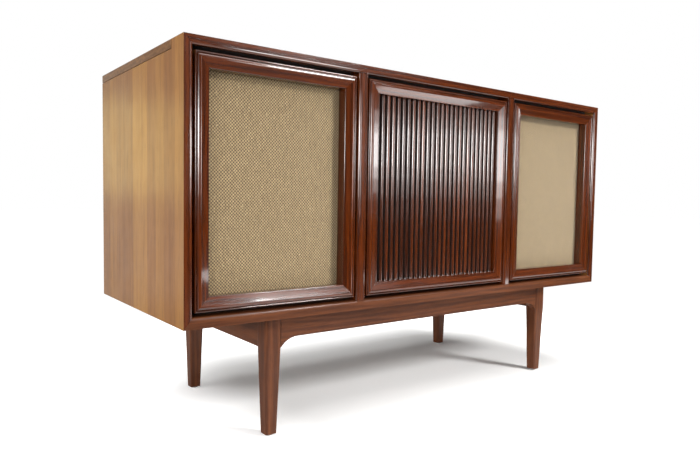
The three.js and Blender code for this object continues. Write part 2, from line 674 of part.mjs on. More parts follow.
// ---------------------------------------------------------------- record changer
function buildChanger() {
  const changer = assembly("changer");
  const platterY = behind(PLATTER_D);
  const armY = behind(TONEARM_D);

  // Plate with an arm rest on the right: a post with a saddle whose one lip is on its outer side.
  const restY = behind(232);
  const plate = join(
    prismZ(roundedRectangle(PLATE.x0, PLATE.x1, behind(PLATE.d0), behind(PLATE.d1), 18),
      DECK_TOP + SEAM, PLATE_TOP),
    rodZ(4, PLATE_TOP - 1, 702, TONEARM_X, restY, 12),
    block(TONEARM_X - 8, TONEARM_X + 10, restY - 6, restY + 6, 701, TONEARM_Z - 4.6),
    block(TONEARM_X + 6, TONEARM_X + 10, restY - 6, restY + 6, 706, TONEARM_Z + 3),
  );
  const bores = [
    rodZ(5, DECK_TOP - 1, PLATE_TOP + 1, PLATTER_X, platterY, 16),
    rodZ(7, DECK_TOP - 1, PLATE_TOP + 1, TONEARM_X, armY, 16),
    rodZ(4.4, DECK_TOP - 1, PLATE_TOP + 1, POST_X, behind(POST_D), 16),
    rodZ(3.4, DECK_TOP - 1, PLATE_TOP + 1, LEVERS.speed.x, behind(LEVERS.speed.d), 12),
    rodZ(3.4, DECK_TOP - 1, PLATE_TOP + 1, LEVERS.control.x, behind(LEVERS.control.d), 12),
  ];
  place(changer, "changer_plate", cut(plate, ...bores), CREAM);

  place(
    changer,
    "changer_motor",
    turned([[0, 596], [34, 596], [40, 602], [40, 645], [34, 651], [0, 651]], 20)
      .translate(60, behind(250), 0),
    STEEL,
  );

  const platter = turned(
    [
      [4.6, 674], [12, 674], [12, 682], [PLATTER_R - 3, 682], [PLATTER_R, 685],
      [PLATTER_R, 694], [PLATTER_R - 2, 697], [4.6, 697], [4.6, 674],
    ],
    40,
  );
  place(changer, "platter", platter.translate(PLATTER_X, platterY, 0), CHROME);
  const mat = turned(
    [
      [4.6, 697 + SEAM], [PLATTER_R - 5, 697 + SEAM], [PLATTER_R - 5, 700],
      [PLATTER_R - 7, MAT_TOP], [52, MAT_TOP], [50, 700], [4.6, 700], [4.6, 697 + SEAM],
    ],
    40,
  );
  place(changer, "platter_mat", mat.translate(PLATTER_X, platterY, 0), RUBBER);

  // Tall record-dropping spindle with a shoulder.
  const spindle = join(
    turned([[0, 655], [3.8, 655], [3.8, 722], [3.2, 726], [0, 726]], 14),
    turned([[0, 724], [2.6, 724], [2.6, 740], [1.4, 743], [0, 743]], 14).translate(-0.9, 0, 0),
  );
  place(changer, "spindle", spindle.translate(PLATTER_X, platterY, 0), CHROME);

  // Tonearm pillar: it turns in the plate, and its fork carries the arm's lift pivot.
  const fork = join(
    turned([[0, 650], [6, 650], [6, 673], [15, 673], [15, 690], [12, 697], [0, 697]], 20),
    block(-13, -8.5, -7, 7, 695, TONEARM_Z + 6),
    block(8.5, 13, -7, 7, 695, TONEARM_Z + 6),
  );
  const pivotHoles = rodX(2.4, -20, 20, 0, TONEARM_Z, 12);
  place(changer, "tonearm_pillar", cut(fork, pivotHoles).translate(TONEARM_X, armY, 0), CREAM);

  // Tonearm: tube, counterweight, cross pin and a shell with the cartridge, pointing to the front.
  const head = -TONEARM_L;
  const tonearm = join(
    rodY(3.8, head + 18, 42, 0, TONEARM_Z, 14),
    block(-6, 6, -10, 10, TONEARM_Z - 6, TONEARM_Z + 6),
    rodX(2, -14, 14, 0, TONEARM_Z, 12),
    rodY(12, 20, 44, 0, TONEARM_Z, 20),
    prismX(
      [
        [head + 26, TONEARM_Z + 5], [head - 12, TONEARM_Z + 2], [head - 16, TONEARM_Z - 2],
        [head - 14, TONEARM_Z - 4], [head + 26, TONEARM_Z - 4],
      ],
      -10,
      10,
    ),
    block(-6, 6, head - 10, head + 12, TONEARM_Z - 8, TONEARM_Z - 2),
  );
  place(changer, "tonearm", tonearm.translate(TONEARM_X, armY, 0), CREAM);

  // Record-steadying arm: a post in the plate and an arm that reaches over the spindle.
  const postY = behind(POST_D);
  const reach = Math.hypot(PLATTER_X - POST_X, platterY - postY);
  const turn = Math.atan2(platterY - postY, PLATTER_X - POST_X);
  const steady = join(
    rodZ(4, 650, 752, 0, 0, 14),
    turned([[0, 673], [9, 673], [9, 679], [0, 679]], 16),
    prismZ(outline([[-9, -8], [reach - 4, -5], [reach + 6, -3], [reach + 6, 3], [reach - 4, 5],
      [-9, 8]]), 746, 753),
  );
  place(changer, "record_steady_arm", steady.rotateZ(turn).translate(POST_X, postY, 0), CREAM);

  for (const { name, x, d } of Object.values(LEVERS)) {
    const lever = join(
      turned([[0, 652], [3, 652], [3, 673], [11, 673], [11, 680], [9, 682], [0, 682]], 16),
      block(-3, 3, -24, 0, 676, 684),
    );
    place(changer, name, lever.translate(x, behind(d), 0), KNOB);
  }
}

// ---------------------------------------------------------------- receiver
function buildReceiver() {
  const receiver = assembly("receiver");
  const middle = (PANEL.x0 + PANEL.x1) / 2;
  const knobX = (i) => middle + (i - (KNOBS.length - 1) / 2) * KNOB_PITCH;
  const knobY = behind(KNOB_D);

  // Panel with a sunk tray behind the dial glass.
  const lip = 2;
  const panel = join(
    prismZ(roundedRectangle(PANEL.x0, PANEL.x1, behind(PANEL.d0), behind(PANEL.d1), 8),
      DECK_TOP + SEAM, PANEL_TOP),
    block(
      DIAL.x0 - lip, DIAL.x1 + lip, behind(DIAL.d0 - lip), behind(DIAL.d1 + lip),
      DIAL.floor - lip, PANEL_TOP + 2,
    ),
  );
  const tray = block(
    DIAL.x0, DIAL.x1, behind(DIAL.d0), behind(DIAL.d1), DIAL.floor, PANEL_TOP + 3,
  );
  const shaftHoles = KNOBS.map((_, i) => rodZ(3.6, 660, PANEL_TOP + 1, knobX(i), knobY, 12));
  place(receiver, "control_panel", cut(panel, tray, ...shaftHoles), BROWN_METAL);
  place(
    receiver,
    "dial_glass",
    block(
      DIAL.x0 + SEAM, DIAL.x1 - SEAM, behind(DIAL.d0) + SEAM, behind(DIAL.d1) - SEAM,
      PANEL_TOP - 1, PANEL_TOP + 1,
    ),
    GLASS,
  );
  place(
    receiver,
    "dial_pointer",
    block(
      DIAL_START - 1, DIAL_START + 1, behind(DIAL.d0 + 6), behind(DIAL.d1 - 6),
      DIAL.floor + 3, DIAL.floor + 5,
    ),
    BRASS,
  );

  KNOBS.forEach((name, i) => {
    const body = turned(
      [
        [0, 652], [3, 652], [3, PANEL_TOP + 1.5], [17, PANEL_TOP + 1.5], [17, PANEL_TOP + 5],
        [14, PANEL_TOP + 7], [13, PANEL_TOP + 19], [11.5, PANEL_TOP + 20.5], [0, PANEL_TOP + 20.5],
      ],
      20,
    );
    const index = block(-1, 1, -16, -12, PANEL_TOP + 4, PANEL_TOP + 15);
    place(receiver, name, join(body, index).translate(knobX(i), knobY, 0), KNOB);
  });

  // Chassis under the panel, with transformers and valves standing out of its back edge.
  const top = 650;
  const rear = behind(400);
  const parts = [
    block(285, 600, behind(180), rear, 596, top),
    block(300, 366, rear - 1, rear + 56, 594, 650),
    block(384, 430, rear - 1, rear + 40, 600, 644),
  ];
  for (const x of [460, 500, 540, 580]) {
    parts.push(rodY(11, rear - 1, rear + 46, x, 622, 12));
  }
  place(receiver, "receiver_chassis", join(...parts), STEEL);
}

buildCabinet();
buildBase();
buildFront();
buildLid();
buildDeck();
buildChanger();
buildReceiver();

export default model;
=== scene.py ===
"""The looks of a radio phonograph console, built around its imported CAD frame.

Everything is in metres in the CAD's own frame: +X to the right as a listener faces the grilles, +Y to
the back, +Z up, origin on the floor. CAD nodes that are plain boards and turned parts are kept and
given materials. The grille frames, slats, cloths, knobs, platter and mat are built finer here, and the dial's
scales, the screws and a few other small pieces are added.
"""
import math
import bpy
from mathutils import Euler, Matrix, Vector


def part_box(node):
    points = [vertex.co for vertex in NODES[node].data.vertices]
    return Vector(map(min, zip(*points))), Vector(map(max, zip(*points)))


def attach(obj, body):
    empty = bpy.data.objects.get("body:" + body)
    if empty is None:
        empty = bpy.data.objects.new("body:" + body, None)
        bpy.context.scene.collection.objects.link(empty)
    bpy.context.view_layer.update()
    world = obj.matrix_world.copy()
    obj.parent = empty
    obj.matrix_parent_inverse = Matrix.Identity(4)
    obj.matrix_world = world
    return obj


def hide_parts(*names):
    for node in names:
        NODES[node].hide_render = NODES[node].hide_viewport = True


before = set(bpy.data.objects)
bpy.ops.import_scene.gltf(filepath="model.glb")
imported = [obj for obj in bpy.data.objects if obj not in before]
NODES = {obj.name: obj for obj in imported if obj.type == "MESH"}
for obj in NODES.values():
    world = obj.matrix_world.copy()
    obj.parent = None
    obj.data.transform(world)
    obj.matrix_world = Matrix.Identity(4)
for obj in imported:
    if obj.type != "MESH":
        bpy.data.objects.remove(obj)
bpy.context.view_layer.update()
MM = 0.001

# ---------------------------------------------------------------- places taken from the frame
case_low, case_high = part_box("bottom_panel")
FACE = case_low.y  # y of the case's front face
HALF_W = case_high.x

FRAME_W = 29 * MM  # width of a grille frame's moulding
FRAME_D = 30 * MM  # how far a grille frame reaches back from the face
SLATS = 26
SLAT_PITCH = 15.8 * MM
SLAT_W = 9 * MM
SLAT_FRONT = 14 * MM  # behind the face


# ---------------------------------------------------------------- camera
def make_camera():
    """A camera low at the front left, turned towards the right, as the photograph's is."""
    data = bpy.data.cameras.new("camera")
    data.sensor_width = 36
    data.lens = 31.51
    camera = bpy.data.objects.new("camera", data)
    bpy.context.scene.collection.objects.link(camera)
    yaw, pitch, roll = math.radians(36.96), math.radians(-3.18), math.radians(0.883)
    ahead = Vector((math.sin(yaw) * math.cos(pitch), math.cos(yaw) * math.cos(pitch), math.sin(pitch)))
    level = Vector((math.cos(yaw), -math.sin(yaw), 0))
    above = level.cross(ahead)
    right = math.cos(roll) * level + math.sin(roll) * above
    up = -math.sin(roll) * level + math.cos(roll) * above
    turn = Matrix((right, up, -ahead)).transposed()
    place = Vector((-HALF_W - 0.4238, FACE - 1.0627, 0.5))
    camera.matrix_world = Matrix.Translation(place) @ turn.to_4x4()
    data.clip_end = 50
    bpy.context.scene.camera = camera


# ---------------------------------------------------------------- node materials
class Graph:
    """A material's node tree, written as nested calls. Every call returns an output socket."""

    def __init__(self, name):
        self.material = bpy.data.materials.new(name)
        self.material.use_nodes = True
        self.tree = self.material.node_tree
        self.tree.nodes.clear()

    def node(self, kind, inputs=(), **settings):
        made = self.tree.nodes.new("ShaderNode" + kind)
        for key, value in settings.items():
            setattr(made, key, value)
        for key, value in dict(inputs).items():
            self.put(made.inputs[key], value)
        return made

    def put(self, socket, value):
        if isinstance(value, bpy.types.NodeSocket):
            self.tree.links.new(value, socket)
        elif isinstance(value, (tuple, list)) and len(value) == 3 and socket.type == "RGBA":
            socket.default_value = (*value, 1)
        else:
            socket.default_value = value

    def here(self):
        return self.node("TexCoord").outputs["Object"]

    def mapped(self, vector, scale=(1, 1, 1), turn=(0, 0, 0), move=(0, 0, 0)):
        turn = Euler([math.radians(a) for a in turn])
        return self.node("Mapping", {
            "Vector": vector, "Scale": scale, "Rotation": turn, "Location": move,
        }).outputs[0]

    def noise(self, vector, scale, detail=3, rough=0.5, distortion=0.0):
        return self.node("TexNoise", {
            "Vector": vector, "Scale": scale, "Detail": detail, "Roughness": rough,
            "Distortion": distortion,
        }).outputs["Fac"]

    def math(self, operation, a, b=None, c=None):
        made = self.node("Math", operation=operation)
        for socket, value in zip(made.inputs, (a, b, c)):
            if value is not None:
                self.put(socket, value)
        return made.outputs[0]

    def spread(self, value, low, high, to_low=0.0, to_high=1.0):
        """Maps low to high onto to_low to to_high, and clamps."""
        return self.node("MapRange", {
            "Value": value, "From Min": low, "From Max": high, "To Min": to_low, "To Max": to_high,
        }).outputs[0]

    def mix(self, share, a, b, blend="MIX"):
        made = self.node("Mix", data_type="RGBA", blend_type=blend)
        for key, value in zip((0, 6, 7), (share, a, b)):
            self.put(made.inputs[key], value)
        return made.outputs[2]

    def ramp(self, value, stops):
        made = self.node("ValToRGB", {"Fac": value})
        elements = made.color_ramp.elements
        while len(elements) < len(stops):
            elements.new(0.5)
        for element, (at, color) in zip(elements, stops):
            element.position = at
            element.color = (*color, 1)
        return made.outputs[0]

    def split(self, vector):
        return self.node("SeparateXYZ", {"Vector": vector}).outputs

    def joined(self, x=0.0, y=0.0, z=0.0):
        return self.node("CombineXYZ", {"X": x, "Y": y, "Z": z}).outputs[0]

    def bump(self, height, distance, strength=1.0, normal=None):
        inputs = {"Height": height, "Distance": distance, "Strength": strength}
        if normal is not None:
            inputs["Normal"] = normal
        return self.node("Bump", inputs).outputs[0]

    def finish(self, **inputs):
        names = {key.replace("_", " "): value for key, value in inputs.items()}
        shader = self.node("BsdfPrincipled", names)
        out = self.node("OutputMaterial")
        self.tree.links.new(shader.outputs[0], out.inputs[0])
        return self.material


GRAIN_TURN = {"x": (0, -90, 0), "y": (90, 0, 0), "z": (0, 0, 0)}


def lacquered_wood(name, along, dark, light, figure=1.0, rough=0.2, coat=1.0, coat_rough=0.06, coat_ior=1.5,
                   staves=None, shift=0.0):
    """Walnut under lacquer. The grain runs along the named axis, between a dark and a light tone."""
    g = Graph(name)
    here = g.mapped(g.here(), turn=GRAIN_TURN[along], move=(shift, shift * 0.7, shift * 1.3))
    long = g.mapped(here, scale=(1, 1, 0.07))
    fine = g.mapped(here, scale=(1, 1, 0.025))
    streaks = g.noise(long, 42, 5, 0.6, 0.6)
    rings = g.node("TexWave", {
        "Vector": long, "Scale": 24, "Distortion": 9, "Detail": 3, "Detail Scale": 1.6,
        "Detail Roughness": 0.6,
    }, wave_type="BANDS", bands_direction="X").outputs["Fac"]
    lines = g.noise(fine, 420, 3, 0.6)
    tone = g.math("ADD", g.math("MULTIPLY", streaks, 0.55), g.math("MULTIPLY", rings, 0.22 * figure))
    tone = g.math("ADD", tone, g.math("MULTIPLY", lines, 0.28))
    middle = tuple((a + b) / 2 for a, b in zip(dark, light))
    color = g.ramp(g.spread(tone, 0.26, 0.78), [(0.0, dark), (0.5, middle), (1.0, light)])
    if staves is not None:
        color = staves(g, color)
    pores = g.spread(g.noise(fine, 1100, 2, 0.5), 0.30, 0.42)
    color = g.mix(g.math("MULTIPLY", g.math("SUBTRACT", 1.0, pores), 0.55), color,
                  tuple(0.35 * c for c in dark))
    wear = g.noise(here, 9, 4, 0.6)
    gloss = g.spread(wear, 0.3, 0.7, rough * 0.85, rough * 1.25)
    ripple = g.bump(g.noise(here, 16, 2), 0.0003, 0.3)
    grain = g.bump(pores, 0.00006, 0.5, ripple)
    return g.finish(
        Base_Color=color, Roughness=gloss, Normal=grain, Specular_IOR_Level=0.15, Coat_Weight=coat,
        Coat_Roughness=coat_rough, Coat_IOR=coat_ior, Coat_Normal=ripple,
    )


def side_staves(g, color):
    """Vertical staves of uneven width across the depth of a side, each with its own tone."""
    x, y, z = g.split(g.here())
    uneven = g.math("ADD", y, g.math("MULTIPLY", g.noise(g.joined(y=y), 7, 0), 0.09))
    stave = g.math("FLOOR", g.math("DIVIDE", uneven, 0.062))
    pick = g.node("TexWhiteNoise", {"Vector": g.joined(stave, 3.0, 1.0)}).outputs["Value"]
    warm = g.mix(g.spread(pick, 0.2, 0.8), (0.215, 0.085, 0.034), (0.31, 0.148, 0.038))
    tinted = g.mix(0.45, color, warm)
    shade = g.spread(pick, 0, 1, 0.88, 1.08)
    return g.mix(1.0, tinted, g.joined(shade, shade, shade), "MULTIPLY")


def slat_tones(g, color):
    """Each slat has its own depth of tone."""
    x, y, z = g.split(g.here())
    slat = g.math("FLOOR", g.math("DIVIDE", g.math("ADD", x, SLATS / 2 * SLAT_PITCH), SLAT_PITCH))
    pick = g.node("TexWhiteNoise", {"Vector": g.joined(slat, 7.0, 2.0)}).outputs["Value"]
    shade = g.spread(pick, 0, 1, 0.75, 1.3)
    return g.mix(1.0, color, g.joined(shade, shade, shade), "MULTIPLY")


def plain_wood(name, along, dark, light, rough=0.7):
    return lacquered_wood(name, along, dark, light, figure=0.6, rough=rough, coat=0.0)


def speaker_cloth(name):
    """Basket weave: pairs of tan and brown yarns pass over each other, so that the cloth looks checked."""
    g = Graph(name)
    wobble = g.noise(g.mapped(g.here(), scale=(1, 1, 1)), 45, 2)
    x, y, z = g.split(g.here())
    x = g.math("ADD", x, g.math("MULTIPLY", wobble, 0.0012))
    z = g.math("ADD", z, g.math("MULTIPLY", wobble, 0.0012))
    yarn = 1.65 * MM  # from one yarn to the next
    across = g.math("DIVIDE", x, yarn)
    down = g.math("DIVIDE", z, yarn)

    def block_number(v):
        return g.math("FLOOR", g.math("DIVIDE", v, 2.0))

    turn = g.math("PINGPONG", g.math("ADD", block_number(across), block_number(down)), 1.0)

    def roundness(v):
        return g.math("ABSOLUTE", g.math("SINE", g.math("MULTIPLY", v, math.pi)))

    warp = roundness(across)
    weft = roundness(down)
    height = g.math("ADD", g.math("MULTIPLY", warp, turn),
                    g.math("MULTIPLY", weft, g.math("SUBTRACT", 1.0, turn)))
    slub = g.noise(g.mapped(g.here(), scale=(1, 1, 0.12)), 520, 3)
    slub_2 = g.noise(g.mapped(g.here(), scale=(0.12, 1, 1)), 520, 3)
    fluff = g.noise(g.here(), 2600, 2)
    tan = g.ramp(slub, [(0.3, (0.26, 0.175, 0.074)), (0.7, (0.52, 0.385, 0.185))])
    brown = g.ramp(slub_2, [(0.3, (0.026, 0.013, 0.005)), (0.72, (0.085, 0.048, 0.018))])
    color = g.mix(turn, brown, tan)
    # Painted shade: where the yarns dip under one another, the cloth turns dark brown.
    deep = g.spread(height, 0.15, 0.75)
    color = g.mix(deep, (0.055, 0.032, 0.016), color)
    color = g.mix(g.math("MULTIPLY", fluff, 0.15), color, (0.48, 0.37, 0.20))
    knots = g.spread(g.noise(g.mapped(g.here(), scale=(1, 1, 0.5)), 230, 2, 0.7), 0.62, 0.72)
    color = g.mix(g.math("MULTIPLY", knots, 0.6), color, (0.10, 0.060, 0.025))
    pale_knots = g.spread(g.noise(g.mapped(g.here(), move=(3, 1, 2)), 260, 2, 0.7), 0.66, 0.74)
    color = g.mix(g.math("MULTIPLY", pale_knots, 0.65), color, (0.66, 0.55, 0.34))
    normal = g.bump(g.math("ADD", height, g.math("MULTIPLY", fluff, 0.3)), 0.00045, 0.8)
    return g.finish(Base_Color=color, Roughness=0.9, Normal=normal, Sheen_Weight=0.25,
                    Sheen_Roughness=0.5)


def metal(name, color, rough, scratch=(1, 1, 1), tarnish=0.25):
    """Bare or plated metal with fine brushing along the axis whose scratch scale is small."""
    g = Graph(name)
    brushed = g.noise(g.mapped(g.here(), scale=scratch), 900, 3)
    cloud = g.noise(g.here(), 22, 4, 0.6)
    dull = tuple(0.62 * c for c in color)
    tint = g.mix(g.math("MULTIPLY", g.spread(cloud, 0.45, 0.75), tarnish), color, dull)
    gloss = g.spread(g.math("ADD", g.math("MULTIPLY", brushed, 0.6), g.math("MULTIPLY", cloud, 0.4)),
                     0.3, 0.7, rough * 0.75, rough * 1.4)
    return g.finish(Base_Color=tint, Metallic=1.0, Roughness=gloss, Normal=g.bump(brushed, 0.00002, 0.4))


def enamel(name, color, rough=0.35, orange_peel=0.00006):
    """Sprayed paint: an even colour with slight mottling and orange peel."""
    g = Graph(name)
    cloud = g.noise(g.here(), 14, 4, 0.6)
    tint = g.mix(g.spread(cloud, 0.3, 0.75, 0.0, 0.35), color, tuple(0.78 * c for c in color))
    peel = g.noise(g.here(), 700, 2)
    gloss = g.spread(cloud, 0.3, 0.7, rough * 0.85, rough * 1.2)
    return g.finish(Base_Color=tint, Roughness=gloss, Normal=g.bump(peel, orange_peel, 0.6),
                    Coat_Weight=0.25, Coat_Roughness=0.15)


def plastic(name, color, rough=0.35):
    g = Graph(name)
    speckle = g.noise(g.here(), 60, 5, 0.7)
    tint = g.mix(g.spread(speckle, 0.35, 0.7, 0.0, 0.4), color, tuple(0.7 * c for c in color))
    gloss = g.spread(speckle, 0.3, 0.7, rough * 0.8, rough * 1.2)
    return g.finish(Base_Color=tint, Roughness=gloss,
                    Normal=g.bump(g.noise(g.here(), 1500, 2), 0.00002, 0.4))


def rough_board(name, dark, light, flake=260):
    """Hardboard or particle board: pressed fibres with no direction."""
    g = Graph(name)
    fibres = g.noise(g.here(), flake, 5, 0.7, 0.8)
    cloud = g.noise(g.here(), 12, 3)
    tone = g.math("ADD", g.math("MULTIPLY", fibres, 0.7), g.math("MULTIPLY", cloud, 0.3))
    color = g.ramp(tone, [(0.32, dark), (0.66, light)])
    return g.finish(Base_Color=color, Roughness=0.85, Normal=g.bump(fibres, 0.00025, 0.5))


def clear_glass(name):
    g = Graph(name)
    smear = g.noise(g.here(), 30, 4, 0.6)
    return g.finish(Base_Color=(0.92, 0.96, 0.94), Roughness=g.spread(smear, 0.4, 0.7, 0.02, 0.07),
                    Transmission_Weight=1.0, IOR=1.45)


def floor_paint_with_painted_glow(name):
    """Matt white paint with painted light. Away from the object it glows white to the camera and looks
    overexposed, and farther off its colour is nearly black, so it isn't seen in reflections there.
    """
    g = Graph(name)
    cloud = g.noise(g.here(), 1.5, 3)
    x, y, z = g.split(g.here())

    def outside(value, middle, half):
        from_middle = g.math("ABSOLUTE", g.math("SUBTRACT", value, middle))
        return g.math("MAXIMUM", g.math("SUBTRACT", from_middle, half), 0.0)

    across = outside(x, 0.14, 0.36)
    deep = outside(y, -0.04, 0.22)
    distance = g.node("VectorMath", {0: g.joined(across, deep)}, operation="LENGTH").outputs["Value"]

    def fade(start, end):
        return g.node("MapRange", {
            "Value": distance, "From Min": start, "From Max": end, "To Min": 0.0, "To Max": 1.0,
        }, interpolation_type="SMOOTHSTEP").outputs[0]

    white = g.ramp(cloud, [(0.3, (0.84, 0.84, 0.83)), (0.7, (0.88, 0.88, 0.87))])
    # Painted shade: from 0.5 m to 1.1 m outside the rectangle, the floor's colour turns nearly black, so it
    # sends back almost no light.
    color = g.mix(fade(0.5, 1.1), white, (0.02, 0.02, 0.02))
    seen = g.node("LightPath").outputs["Is Camera Ray"]
    # Painted light: the floor glows white to the camera from just outside a rectangle round the case, so the
    # case's cast shadow shows only under it.
    glow = g.math("MULTIPLY", fade(0.08, 0.42), seen)
    glow = g.math("MAXIMUM", glow, g.spread(y, 1.0, 1.8, 0.0, 0.5))
    return g.finish(Base_Color=color, Roughness=0.5, Emission_Color=(1, 1, 1), Emission_Strength=glow)


# The darkest and lightest tone of each wood: stained front, base, and pale veneered sides.
RED_DARK, RED_LIGHT = (0.019, 0.0030, 0.0005), (0.100, 0.0195, 0.0028)
BROWN_DARK, BROWN_LIGHT = (0.036, 0.0090, 0.0027), (0.116, 0.0335, 0.0090)
GOLD_DARK, GOLD_LIGHT = (0.155, 0.062, 0.016), (0.35, 0.165, 0.042)

FACE_X = lacquered_wood("walnut_face_x", "x", RED_DARK, RED_LIGHT)
FACE_Z = lacquered_wood("walnut_face_z", "z", RED_DARK, RED_LIGHT, shift=0.31)
SIDE = lacquered_wood("walnut_side", "z", GOLD_DARK, GOLD_LIGHT, rough=0.4, coat=0.5, coat_rough=0.22,
                      staves=side_staves)
TOP = lacquered_wood("walnut_top", "x", (0.090, 0.040, 0.015), (0.230, 0.110, 0.042), rough=0.35, coat=0.5,
                     coat_rough=0.15, shift=0.7)
SATIN = {"rough": 0.4, "coat": 0.12, "coat_rough": 0.16}
RAIL = lacquered_wood("walnut_rail", "x", BROWN_DARK, BROWN_LIGHT, **SATIN)
LEG = lacquered_wood("walnut_leg", "z", BROWN_DARK, BROWN_LIGHT, **SATIN, shift=0.5)
APRON_Y = lacquered_wood("walnut_apron_y", "y", BROWN_DARK, BROWN_LIGHT, **SATIN)
SLAT = lacquered_wood("walnut_slat", "z", RED_DARK, RED_LIGHT, rough=0.22, coat_rough=0.07, coat_ior=1.65,
                      staves=slat_tones, shift=1.1)
CLOTH = speaker_cloth("speaker_cloth")
PLYWOOD = plain_wood("plywood", "z", (0.36, 0.22, 0.10), (0.62, 0.44, 0.24))
BACK_BOARD = rough_board("hardboard", (0.085, 0.050, 0.028), (0.21, 0.135, 0.08))
BLACK_BOARD = rough_board("black_board", (0.004, 0.0035, 0.003), (0.012, 0.010, 0.009), 180)
BRASS = metal("brass", (0.78, 0.56, 0.24), 0.28, (0.05, 1, 1))
STEEL = metal("steel", (0.52, 0.52, 0.51), 0.38, (0.05, 1, 1))
CHROME = metal("chrome", (0.86, 0.86, 0.86), 0.07, tarnish=0.05)
ALUMINIUM = metal("aluminium", (0.72, 0.72, 0.71), 0.27, (1, 1, 0.05), 0.15)
CREAM_PAINT = enamel("cream_enamel", (0.72, 0.64, 0.48))
CREAM_PLASTIC = plastic("cream_plastic", (0.74, 0.67, 0.53), 0.3)
BROWN_PAINT = enamel("brown_enamel", (0.055, 0.036, 0.024), 0.4)
DIAL_PAINT = enamel("dial_enamel", (0.030, 0.017, 0.010), 0.3)
DIAL_INK = enamel("dial_ink", (0.80, 0.68, 0.42), 0.5)
RUBBER = plastic("rubber", (0.016, 0.015, 0.014), 0.75)
PAPER = rough_board("cone_paper", (0.008, 0.007, 0.006), (0.03, 0.026, 0.022), 900)
KNOB = plastic("knob_plastic", (0.030, 0.017, 0.010), 0.22)
GLASS = clear_glass("dial_glass")


# ---------------------------------------------------------------- mesh helpers
def new_piece(name, vertices, faces, body, slot, materials, face_material=None, crease=32):
    """A mesh piece in the frame's own coordinates, riding on a body."""
    mesh = bpy.data.meshes.new(name)
    mesh.from_pydata([tuple(v) for v in vertices], [], faces)
    for material in materials:
        mesh.materials.append(material)
    if face_material is not None:
        mesh.polygons.foreach_set("material_index", face_material)
    mesh.update()
    piece = bpy.data.objects.new(name, mesh)
    bpy.context.scene.collection.objects.link(piece)
    smooth(piece, crease)
    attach(piece, body)
    return piece


def arc(a, b, ra, rb, start, end, steps):
    """Points on an arc, end points included, as (a, b) pairs."""
    turns = [math.radians(start + (end - start) * i / steps) for i in range(steps + 1)]
    return [(a + ra * math.cos(t), b + rb * math.sin(t)) for t in turns]


def loft(rings, loop=False):
    """Vertices and faces of a skin over rings of equal length. It is capped, or joined end to end."""
    n = len(rings[0])
    vertices = [v for ring in rings for v in ring]
    faces = []
    for i in range(len(rings) if loop else len(rings) - 1):
        here, there = i * n, (i + 1) % len(rings) * n
        faces.extend((here + k, here + (k + 1) % n, there + (k + 1) % n, there + k) for k in range(n))
    if not loop:
        faces.append(tuple(reversed(range(n))))
        faces.append(tuple(len(vertices) - n + k for k in range(n)))
    return vertices, faces


def lathe(profile, sides, place, flute=None, loop=False):
    """A piece turned about a vertical axis through place, from (radius, height) pairs in millimetres that
    run up its outside. flute(turn, radius, height) may change the radius round the axis."""
    turns = [2 * math.pi * k / sides for k in range(sides)]
    rings = []
    for r, z in profile:
        reach = [flute(t, r, z) if flute else r for t in turns]
        rings.append([
            (place[0] + a * MM * math.cos(t), place[1] + a * MM * math.sin(t), z * MM)
            for a, t in zip(reach, turns)
        ])
    return loft(rings, loop)


def upright_prism(ring, z0, z1):
    """A prism on an outline in x and y, which runs anticlockwise seen from above."""
    return loft([[(x, y, z) for x, y in ring] for z in (z0, z1)])


def slab(x0, x1, y0, y1, z0, z1):
    """A box between pairs of coordinates, each pair in rising order."""
    return upright_prism([(x0, y0), (x1, y0), (x1, y1), (x0, y1)], z0, z1)


def gather(parts):
    """Joins (vertices, faces) pairs into one pair, and says how many faces each part gave."""
    vertices, faces, counts = [], [], []
    for more_vertices, more_faces in parts:
        base = len(vertices)
        vertices.extend(more_vertices)
        faces.extend(tuple(base + i for i in face) for face in more_faces)
        counts.append(len(more_faces))
    return vertices, faces, counts


# ---------------------------------------------------------------- grille frames, slats and cloths
def moulding():
    """The frame's section, as (inward from its outer edge, behind the face) pairs in millimetres: a thin
    outer bead, a broad nose, a long slope, a rounded inner edge and the deep inner wall."""
    return [
        (0, 30),
        *arc(1.7, 5.0, 1.7, 1.7, 180, 340, 10),
        (3.9, 5.0),
        *arc(9.9, 5.3, 5.9, 4.7, 190, 292, 18),
        (12.6, 1.12),
        (27.5, 6.1),
        *arc(27.3, 7.8, 1.7, 1.7, 292, 360, 8),
        (29, 30),
    ]


def make_grille_frame(side):
    """Four mitred bars. The stiles' grain is upright and the rails' grain lies flat."""
    low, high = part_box(f"{side}_grille_frame")
    section = moulding()
    corners = [(low.x, low.z, 1, 1), (high.x, low.z, -1, 1), (high.x, high.z, -1, -1), (low.x, high.z, 1, -1)]
    rings = [
        [(x + sx * s * MM, FACE + d * MM, z + sz * s * MM) for s, d in section]
        for x, z, sx, sz in corners
    ]
    bars = [loft([rings[(bar + 1) % 4], rings[bar]]) for bar in range(4)]
    vertices, faces, counts = gather(bars)
    grain = [bar % 2 for bar in range(4) for _ in range(counts[bar])]
    frame_piece = new_piece(f"{side}_frame_moulding", vertices, faces, "case", "face_walnut",
                            [FACE_X, FACE_Z], grain, 40)
    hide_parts(f"{side}_grille_frame")


